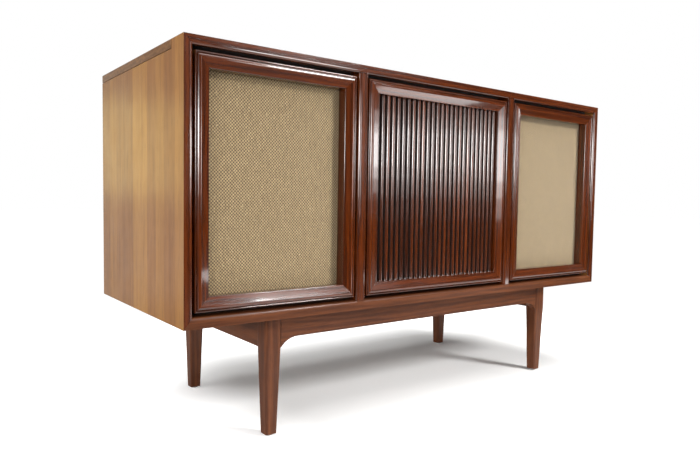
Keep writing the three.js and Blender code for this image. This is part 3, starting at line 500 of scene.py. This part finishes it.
def make_slats():
    """Half-round slats in front of two battens, over the dark woofer board."""
    low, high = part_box("center_grille_frame")
    z0, z1 = low.z + FRAME_W + 0.3 * MM, high.z - FRAME_W - 0.3 * MM
    middle = (low.x + high.x) / 2
    half = SLAT_W / 2
    nose_faces = 16
    batten_height = 36 * MM
    parts = []
    for i in range(SLATS):
        x = middle + (i - (SLATS - 1) / 2) * SLAT_PITCH
        nose = arc(x, FACE + SLAT_FRONT + half, half, half, 180, 360, nose_faces)
        back = FACE + FRAME_D + 1 * MM
        ring = [*nose, (x + half, back), (x - half, back)]
        parts.append(upright_prism(ring, z0, z1))
    louvre_low, louvre_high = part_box("center_louvre")
    for edge, inward in ((louvre_low.z, 1), (louvre_high.z, -1)):
        front, back = FACE + FRAME_D + 0.3 * MM, louvre_high.y
        span = sorted((edge, edge + inward * batten_height))
        parts.append(slab(louvre_low.x, louvre_high.x, front, back, *span))
    vertices, faces, counts = gather(parts)
    # Painted shade: the slats' flat flanks take the black board in place of walnut, so the gaps between the
    # slats look dark.
    finish = []
    for count in counts[:SLATS]:
        finish += [0] * nose_faces + [1] * (count - nose_faces)
    finish += [1] * sum(counts[SLATS:])
    slats = new_piece("louvre_slats", vertices, faces, "case", "face_walnut", [SLAT, BLACK_BOARD],
                      finish, 40)
    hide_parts("center_louvre")


def make_cloth(side):
    """A cloth stretched over the back of its frame, slightly slack between its edges."""
    low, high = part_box(f"{side}_grille_cloth")
    columns, rows = 84, 112
    width, height = high.x - low.x, high.z - low.z
    front, thickness = low.y + 0.4 * MM, 0.7 * MM
    vertices = []
    for skin in (0, 1):
        for j in range(rows + 1):
            for i in range(columns + 1):
                u, v = i / columns, j / rows
                slack = (math.sin(math.pi * u) * math.sin(math.pi * v)) ** 0.5
                wave = math.sin(19 * u + 2.2 * math.sin(5 * v)) + math.sin(23 * v + 1.7 * math.sin(6 * u))
                y = front + skin * thickness + slack * (0.35 + 0.10 * wave) * MM
                vertices.append((low.x + u * width, y, low.z + v * height))
    stride = columns + 1
    skin_size = stride * (rows + 1)
    faces = []
    for j in range(rows):
        for i in range(columns):
            a = j * stride + i
            faces.append((a, a + 1, a + 1 + stride, a + stride))
            b = skin_size + a
            faces.append((b, b + stride, b + 1 + stride, b + 1))
    edge = [*range(stride), *(j * stride + columns for j in range(1, rows + 1)),
            *(rows * stride + i for i in reversed(range(columns))),
            *(j * stride for j in reversed(range(1, rows)))]
    for a, b in zip(edge, [*edge[1:], edge[0]]):
        faces.append((a, skin_size + a, skin_size + b, b))
    cloth = new_piece(f"{side}_speaker_cloth", vertices, faces, "case", "cloth", [CLOTH])
    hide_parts(f"{side}_grille_cloth")


# ---------------------------------------------------------------- record changer
def middle_of(node):
    """The middle of a CAD node's box."""
    low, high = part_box(node)
    return (low + high) / 2


def raised(profile, base):
    """A (radius, height) profile whose heights, in millimetres, start from base, in metres."""
    return [(r, base / MM + z) for r, z in profile]


def make_platter():
    """A pressed platter with a rolled rim, and a rubber mat with fine rings."""
    centre = middle_of("platter")
    bore = 4.6
    outline = [
        (bore, 0), (12, 0), (12, 8), (134, 8), (137.5, 8.6), (139.4, 10.2), (140, 12.5), (140, 14),
        (139.3, 14.6), (139.3, 16.2), (140, 16.8), (140, 19.4), (139.4, 21.4), (137.6, 22.8), (136, 23),
        (bore, 23),
    ]
    outline = raised(outline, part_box("platter")[0].z)
    platter = new_piece("platter_disc", *lathe(outline, 128, centre, loop=True), "platter_body",
                        "platter_metal", [ALUMINIUM])
    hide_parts("platter")

    rings_outside, rings_inside, ring_pitch, top = 130.5, 54, 3.2, 3.7
    outline = [(bore, 0), (134.6, 0), (135, 0.7), (134.8, 2.3), (133.6, 3.6), (132, top)]
    r = rings_outside
    while r > rings_inside:
        outline += [(r, top), (r - 0.5, top - 0.5), (r - 1.6, top - 0.5), (r - 2.1, top)]
        r -= ring_pitch
    outline += [(52, top), (50.5, 2.9), (49, 2.7), (14, 2.7), (13, 3.1), (10, 3.1), (9, 2.7), (bore, 2.7)]
    outline = raised(outline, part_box("platter_mat")[0].z)
    mat = new_piece("ringed_mat", *lathe(outline, 96, centre, loop=True), "platter_body", "rubber", [RUBBER])
    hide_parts("platter_mat")


def make_arm_details():
    """The arm's finger lift and the stylus under its cartridge. The arm points to the front at rest."""
    low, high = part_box("tonearm")
    x, nose, z = (low.x + high.x) / 2, low.y, high.z - 12 * MM
    path = [(x + 8 * MM, nose + 14 * MM, z), (x + 13 * MM, nose + 11 * MM, z + 0.5 * MM),
            (x + 18 * MM, nose + 8 * MM, z + 2 * MM), (x + 22 * MM, nose + 7 * MM, z + 5 * MM)]
    rings = []
    for px, py, pz in path:
        rings.append([
            (px, py + 1.6 * MM * math.cos(t), pz + 0.7 * MM * math.sin(t))
            for t in (2 * math.pi * k / 12 for k in range(12))
        ])
    new_piece("finger_lift", *loft(rings), "tonearm_body", "chrome", [CHROME])
    # The stylus hangs 0.4 mm above the mat, and its top end is inside the cartridge.
    tip = raised([(0.4, 0.4), (1.0, 1.4), (1.1, 3.4)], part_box("platter_mat")[1].z)
    new_piece("stylus_holder", *lathe(tip, 12, (x, nose + 10 * MM)), "tonearm_body", "knob_plastic", [KNOB])


# ---------------------------------------------------------------- receiver
KNOBS = ("volume", "tone", "balance", "selector", "tuning")
PANEL_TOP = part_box("control_panel")[1].z - 2 * MM  # the dial's rim stands 2 mm above the panel
TRAY_DEPTH = 13 * MM  # from the panel's face down to the floor of the dial's tray
INK_LOW, INK_HIGH = 0.02 * MM, 0.14 * MM  # a printed mark's underside and top, above what it is printed on


def make_knob(name):
    """A fluted knob on a skirt, with a spun metal cap and a pale index mark. Its shaft goes down through
    the panel."""
    centre = middle_of(f"{name}_knob")
    flutes = 28
    flutes_low, flutes_high = PANEL_TOP / MM + 7.4, PANEL_TOP / MM + 17.6

    def flute(turn, r, z):
        if not flutes_low < z < flutes_high:
            return r
        return r - 0.45 * (0.5 + 0.5 * math.cos(flutes * turn)) ** 2

    shape = raised([
        (3, -19), (3, 1.5), (16.5, 1.5), (17, 2), (17, 4.4), (16.5, 5), (14.6, 5.6), (14, 6.6), (13.9, 7.4),
        (13.8, 7.8), (13.3, 12.5), (12.9, 17.2), (12.8, 17.6), (12.4, 18.9), (11.6, 19.7), (10.7, 19.8),
        (10.4, 19.4),
    ], PANEL_TOP)
    body = new_piece(f"{name}_fluted_knob", *lathe(shape, flutes * 6, centre, flute), f"{name}_knob_body",
                     "knob_plastic", [KNOB])
    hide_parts(f"{name}_knob")
    cap = raised([
        (10.2, 19.4), (10.2, 19.9), (9.6, 20.4), (8.8, 20.5), (5.6, 20.1), (2.2, 20.0), (0.8, 20.3),
    ], PANEL_TOP)
    new_piece(f"{name}_knob_cap", *lathe(cap, 48, centre), f"{name}_knob_body", "brass", [BRASS])
    mark = slab(centre.x - 0.5 * MM, centre.x + 0.5 * MM, centre.y - 16.2 * MM, centre.y - 14.4 * MM,
                PANEL_TOP + 4.6 * MM, PANEL_TOP + 5.3 * MM)
    new_piece(f"{name}_knob_index", *mark, f"{name}_knob_body", "cream_plastic", [CREAM_PLASTIC])


def make_knob_scales():
    """Painted ticks on the panel round each knob."""
    inner, half_width = 19.5 * MM, 0.35 * MM
    long, short = 3.2 * MM, 2 * MM
    parts = []
    for name in KNOBS:
        centre = middle_of(f"{name}_knob")
        steps = 5 if name == "selector" else 11
        for i in range(steps):
            turn = math.radians(-135 + 270 * i / (steps - 1))
            reach = long if i % 5 == 0 or name == "selector" else short
            out = Vector((math.sin(turn), math.cos(turn)))
            across = Vector((out.y, -out.x)) * half_width
            a, b = out * inner, out * (inner + reach)
            corners = (b - across, b + across, a + across, a - across)
            ring = [(centre.x + v.x, centre.y + v.y) for v in corners]
            parts.append(upright_prism(ring, PANEL_TOP + INK_LOW, PANEL_TOP + INK_HIGH))
    vertices, faces, _ = gather(parts)
    new_piece("knob_scales", vertices, faces, "case", "cream_plastic", [CREAM_PLASTIC])


def flat_text(words, size, x, y, z):
    """Vertices and faces of a raised number that lies flat, centred on a place."""
    curve = bpy.data.curves.new("number", "FONT")
    curve.body = words
    curve.size = size
    curve.extrude = 0.06 * MM
    curve.resolution_u = 3
    curve.align_x = "CENTER"
    curve.align_y = "CENTER"
    text = bpy.data.objects.new("number", curve)
    bpy.context.scene.collection.objects.link(text)
    bpy.context.view_layer.update()
    mesh = bpy.data.meshes.new_from_object(text.evaluated_get(bpy.context.evaluated_depsgraph_get()))
    vertices = [(x + v.co.x, y + v.co.y, z + v.co.z) for v in mesh.vertices]
    faces = [tuple(face.vertices) for face in mesh.polygons]
    bpy.data.objects.remove(text)
    bpy.data.meshes.remove(mesh)
    return vertices, faces


def make_dial():
    """A dark dial plate under the glass, with two pale scales and their numbers."""
    low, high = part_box("dial_glass")
    floor = PANEL_TOP - TRAY_DEPTH
    plate_top = floor + 0.9 * MM
    inset = 0.5 * MM
    plate = slab(low.x + inset, high.x - inset, low.y + inset, high.y - inset, floor + 0.2 * MM, plate_top)
    new_piece("dial_plate", *plate, "case", "brown_paint", [DIAL_PAINT])

    ink_low, ink_high = plate_top + INK_LOW, plate_top + INK_HIGH
    start, end = low.x + 24 * MM, high.x - 24 * MM
    scales = (
        (high.y - 26 * MM, 1, ("88", "92", "96", "100", "104", "108")),
        (low.y + 26 * MM, -1, ("55", "60", "70", "90", "120", "160")),
    )
    ticks = 50
    line, tick_width, letter_height = 0.6 * MM, 0.4 * MM, 8 * MM
    parts = []
    for y, out, labels in scales:
        parts.append(slab(start, end, y - line / 2, y + line / 2, ink_low, ink_high))
        for i in range(ticks + 1):
            x = start + (end - start) * i / ticks
            reach = (5 if i % 10 == 0 else 3.4 if i % 5 == 0 else 2) * MM
            y0, y1 = sorted((y, y + out * reach))
            parts.append(slab(x - tick_width / 2, x + tick_width / 2, y0, y1, ink_low, ink_high))
        for i, label in enumerate(labels):
            x = start + (end - start) * i / (len(labels) - 1)
            parts.append(flat_text(label, letter_height, x, y + out * 10 * MM, (ink_low + ink_high) / 2))
    vertices, faces, _ = gather(parts)
    new_piece("dial_scales", vertices, faces, "case", "cream_plastic", [DIAL_INK])


# ---------------------------------------------------------------- screws
def screw_head(place, normal, radius, height, turn):
    """A slotted oval head: two domed halves on a disc, with the slot between them."""
    up = Vector(normal)
    side = up.orthogonal().normalized()
    ahead = up.cross(side)
    a = math.cos(turn) * side + math.sin(turn) * ahead
    b = -math.sin(turn) * side + math.cos(turn) * ahead
    slot = 0.13 * radius
    levels = ((1.0, 0.1), (0.97, 0.45), (0.75, 0.85), (0.4, 1.0))
    parts = []
    for half in (1, -1):
        rings = []
        for share, lift in levels:
            ring = []
            for k in range(11):
                t = math.pi * k / 10
                u = half * radius * share * math.cos(t)
                v = half * max(radius * share * math.sin(t), slot)
                ring.append(tuple(Vector(place) + a * u + b * v + up * height * lift))
            rings.append(ring)
        parts.append(loft(rings))
    disc = []
    for lift in (-0.05, 0.12):
        disc.append([
            tuple(Vector(place) + a * radius * math.cos(t) + b * radius * math.sin(t) + up * height * lift)
            for t in (2 * math.pi * k / 20 for k in range(20))
        ])
    parts.append(loft(disc))
    vertices, faces, _ = gather(parts)
    return vertices, faces


def screws(name, places, normal, radius, height, slot, material):
    """Screws of one kind as one piece, with their slots turned each its own way."""
    heads = [screw_head(place, normal, radius, height, 0.9 + 2.4 * i) for i, place in enumerate(places)]
    vertices, faces, _ = gather(heads)
    new_piece(name, vertices, faces, "case", slot, [material])


def make_screws():
    backward, upward, rightward = (0, 1, 0), (0, 0, 1), (1, 0, 0)

    # Seven along the top and the bottom of the back panel, and two more down each end.
    low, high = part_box("back_panel")
    edge = 12 * MM
    columns = [low.x + edge + (high.x - low.x - 2 * edge) * i / 6 for i in range(7)]
    places = [(x, high.y, z) for z in (low.z + edge, high.z - edge) for x in columns]
    places += [(x, high.y, middle_of("back_panel").z + dz)
               for x in (columns[0], columns[-1]) for dz in (-75 * MM, 75 * MM)]
    screws("back_screws", places, backward, 4 * MM, 1.8 * MM, "steel", STEEL)

    low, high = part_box("control_panel")
    corner = 10 * MM
    places = [(x, y, PANEL_TOP) for x in (low.x + corner, high.x - corner)
              for y in (low.y + corner, high.y - corner)]
    screws("panel_screws", places, upward, 3 * MM, 1.3 * MM, "brass", BRASS)

    # In three corners of the changer plate, whose face is level with the control panel's.
    low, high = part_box("changer_plate")
    inset = 17 * MM
    places = [(low.x + inset, low.y + inset, PANEL_TOP), (high.x - inset, low.y + inset, PANEL_TOP),
              (high.x - inset, high.y - inset, PANEL_TOP)]
    screws("changer_screws", places, upward, 5 * MM, 2.2 * MM, "steel", STEEL)

    centre = middle_of("stay_bracket")
    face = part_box("stay_bracket")[0].x + 2 * MM  # the bracket is 2 mm sheet on the left side
    places = [(face, centre.y + dy, centre.z) for dy in (-16 * MM, 16 * MM)]
    screws("stay_screws", places, rightward, 3 * MM, 1.2 * MM, "brass", BRASS)


def make_inlet_pins():
    """Two round pins inside the mains inlet."""
    low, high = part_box("power_inlet")
    centre = middle_of("power_inlet")
    radius = 0.7 * MM
    turns = [2 * math.pi * k / 12 for k in range(12)]
    pins = []
    for dx in (-1.7 * MM, 1.7 * MM):
        rings = [
            [(centre.x + dx + radius * math.sin(t), y, centre.z + radius * math.cos(t)) for t in turns]
            for y in (low.y + 1 * MM, high.y - 3 * MM)
        ]
        pins.append(loft(rings))
    vertices, faces, _ = gather(pins)
    new_piece("inlet_pins", vertices, faces, "case", "chrome", [CHROME])


# ---------------------------------------------------------------- materials on the CAD nodes
def paint(material, *names):
    """Gives CAD nodes a material in place of any that they have."""
    for name in names:
        slots = NODES[name].data.materials
        slots.clear()
        slots.append(material)


def smooth(obj, degrees=32):
    """Smooth shading, with creases where faces meet at more than this angle."""
    mesh = obj.data
    mesh.polygons.foreach_set("use_smooth", [True] * len(mesh.polygons))
    mesh.set_sharp_from_angle(angle=math.radians(degrees))


def ease_edges(name, width, segments=3):
    """Takes the sharpness off a board's edges."""
    bevel = NODES[name].modifiers.new("eased", "BEVEL")
    bevel.width = width
    bevel.segments = segments
    bevel.limit_method = "ANGLE"
    bevel.angle_limit = math.radians(50)
    bevel.harden_normals = True


def veneer_side(name):
    """A side's outer face is pale veneer, and its front edge is stained like the rest of the front."""
    paint(SIDE, name)
    mesh = NODES[name].data
    mesh.materials.append(FACE_Z)
    for face in mesh.polygons:
        outward = face.normal.x * math.copysign(1, face.center.x)
        if face.center.y < FACE + 10 * MM and outward < 0.7:
            face.material_index = 1


def dress_cad_nodes():
    paint(FACE_X, "top_front_rail")
    paint(RAIL, "bottom_panel", "front_apron", "rear_apron", "rear_top_rail")
    paint(FACE_Z, "left_divider", "right_divider")
    for name in ("left_side_panel", "right_side_panel"):
        veneer_side(name)
    paint(TOP, "lid", "deck_board")
    corners = ["front_left", "front_right", "rear_left", "rear_right"]
    paint(LEG, *[f"{corner}_leg" for corner in corners])
    paint(STEEL, *[f"{corner}_glide" for corner in corners], "changer_motor")
    paint(APRON_Y, "left_apron", "right_apron")
    paint(BACK_BOARD, "back_panel")
    paint(PLYWOOD, "record_well")
    paint(BLACK_BOARD, "left_baffle", "center_baffle", "right_baffle")
    paint(PAPER, "left_speaker", "right_speaker", "woofer")
    paint(BRASS, "lid_hinge_case_leaf", "lid_hinge_lid_leaf", "stay_bracket", "stay_arm", "stay_track",
          "dial_pointer")
    paint(CREAM_PAINT, "changer_plate", "tonearm_pillar")
    paint(CREAM_PLASTIC, "tonearm", "record_steady_arm")
    paint(ALUMINIUM, "platter", "receiver_chassis")
    paint(CHROME, "spindle")
    paint(RUBBER, "platter_mat", "power_inlet")
    paint(BROWN_PAINT, "control_panel")
    paint(GLASS, "dial_glass")
    paint(KNOB, "volume_knob", "tone_knob", "balance_knob", "selector_knob", "tuning_knob",
          "speed_lever", "play_reject_lever")
    for node in NODES.values():
        smooth(node)
    for name in ("lid", "left_side_panel", "right_side_panel", "bottom_panel", "top_front_rail"):
        ease_edges(name, 0.9 * MM)
    for name in ("front_apron", "rear_apron", "left_apron", "right_apron", "deck_board"):
        ease_edges(name, 1.2 * MM)


# ---------------------------------------------------------------- floor and light
def make_stage():
    bpy.ops.mesh.primitive_plane_add(size=40, location=(0, 0, 0))
    floor = bpy.context.object
    floor.name = "floor"
    floor.data.materials.append(floor_paint_with_painted_glow("floor_paint_with_painted_glow"))


def softbox(name, place, aim, width, height, radiance, color=(1, 1, 1)):
    """A rectangular light of a given brightness, which the camera doesn't see."""
    data = bpy.data.lights.new(name, "AREA")
    data.shape = "RECTANGLE"
    data.size, data.size_y = width, height
    data.energy = radiance * math.pi * width * height
    data.color = color
    lamp = bpy.data.objects.new(name, data)
    bpy.context.scene.collection.objects.link(lamp)
    lamp.location = place
    lamp.rotation_mode = "QUATERNION"
    lamp.rotation_quaternion = (Vector(aim) - Vector(place)).to_track_quat("-Z", "Y")
    lamp.visible_camera = False


def make_world():
    """A dim room that is brighter behind the object, and plain white where the camera looks past it."""
    world = bpy.data.worlds.new("studio")
    bpy.context.scene.world = world
    world.use_nodes = True
    tree = world.node_tree
    tree.nodes.clear()
    coords = tree.nodes.new("ShaderNodeTexCoord")
    split = tree.nodes.new("ShaderNodeSeparateXYZ")
    tree.links.new(coords.outputs["Generated"], split.inputs[0])
    shade = tree.nodes.new("ShaderNodeMapRange")
    tree.links.new(split.outputs["Y"], shade.inputs["Value"])
    for key, value in {"From Min": 0.9, "From Max": 0.985, "To Min": 0.05, "To Max": 0.7}.items():
        shade.inputs[key].default_value = value
    path = tree.nodes.new("ShaderNodeLightPath")
    seen = tree.nodes.new("ShaderNodeMath")
    seen.operation = "MAXIMUM"
    tree.links.new(path.outputs["Is Camera Ray"], seen.inputs[0])
    tree.links.new(shade.outputs[0], seen.inputs[1])
    light = tree.nodes.new("ShaderNodeBackground")
    light.inputs["Color"].default_value = (1, 1, 1, 1)
    tree.links.new(seen.outputs[0], light.inputs["Strength"])
    out = tree.nodes.new("ShaderNodeOutputWorld")
    tree.links.new(light.outputs[0], out.inputs[0])


def around(degrees, distance, height):
    """A place seen from the middle of the front: degrees from straight ahead, positive to the right."""
    turn = math.radians(degrees)
    return (distance * math.sin(turn), FACE - distance * math.cos(turn), height)


# Each strip light is three sheets of light, one behind another, so that its reflection is brightest in the
# middle and fades towards its top and bottom: height, share of the radiance, metres farther away.
STRIP_LAYERS = ((0.30, 0.50, 0.0), (0.50, 0.30, 0.1), (0.76, 0.20, 0.2))


def make_light():
    """The front, right and low lights shine in the frames' slopes, and the slat light on the slats' noses."""
    make_world()
    aim = (0, FACE, 0.6)
    softbox("overhead", (0, -0.5, 2.7), (0, -0.5, 0), 2.8, 2.8, 4.0)
    for tall, share, farther in STRIP_LAYERS:
        softbox("front_strip", (0.82, FACE - 2 - farther, 0.77), aim, 0.66, tall, 14 * share)
        softbox("left_strip", around(-95, 4 + farther, 0.97), aim, 4.2, tall, 19 * share)
        softbox("slat_strip", around(-54, 3.3 + farther, 0.90), aim, 1.5, tall, 30 * share)
        softbox("right_strip", (3.9 + farther, FACE - 0.75, 0.95), aim, 0.8, tall, 9 * share)
    softbox("warm_strip", around(-154, 4, 0.86), aim, 0.8, 0.7, 1.6, (1.0, 0.82, 0.30))
    softbox("key", around(30, 2.9, 2.1), (0.7, FACE, 0.4), 0.7, 0.7, 88)
    softbox("low_card", (1.6, FACE - 1.46, 0.012), (1.6, FACE - 1.46, 1), 0.85, 0.5, 6)
    bpy.context.scene.view_settings.view_transform = "Standard"


make_camera()
dress_cad_nodes()
for side in ("left", "center", "right"):
    make_grille_frame(side)
make_slats()
for side in ("left", "right"):
    make_cloth(side)
make_platter()
make_arm_details()
for knob in KNOBS:
    make_knob(knob)
make_knob_scales()
make_dial()
make_screws()
make_inlet_pins()
make_stage()
make_light()
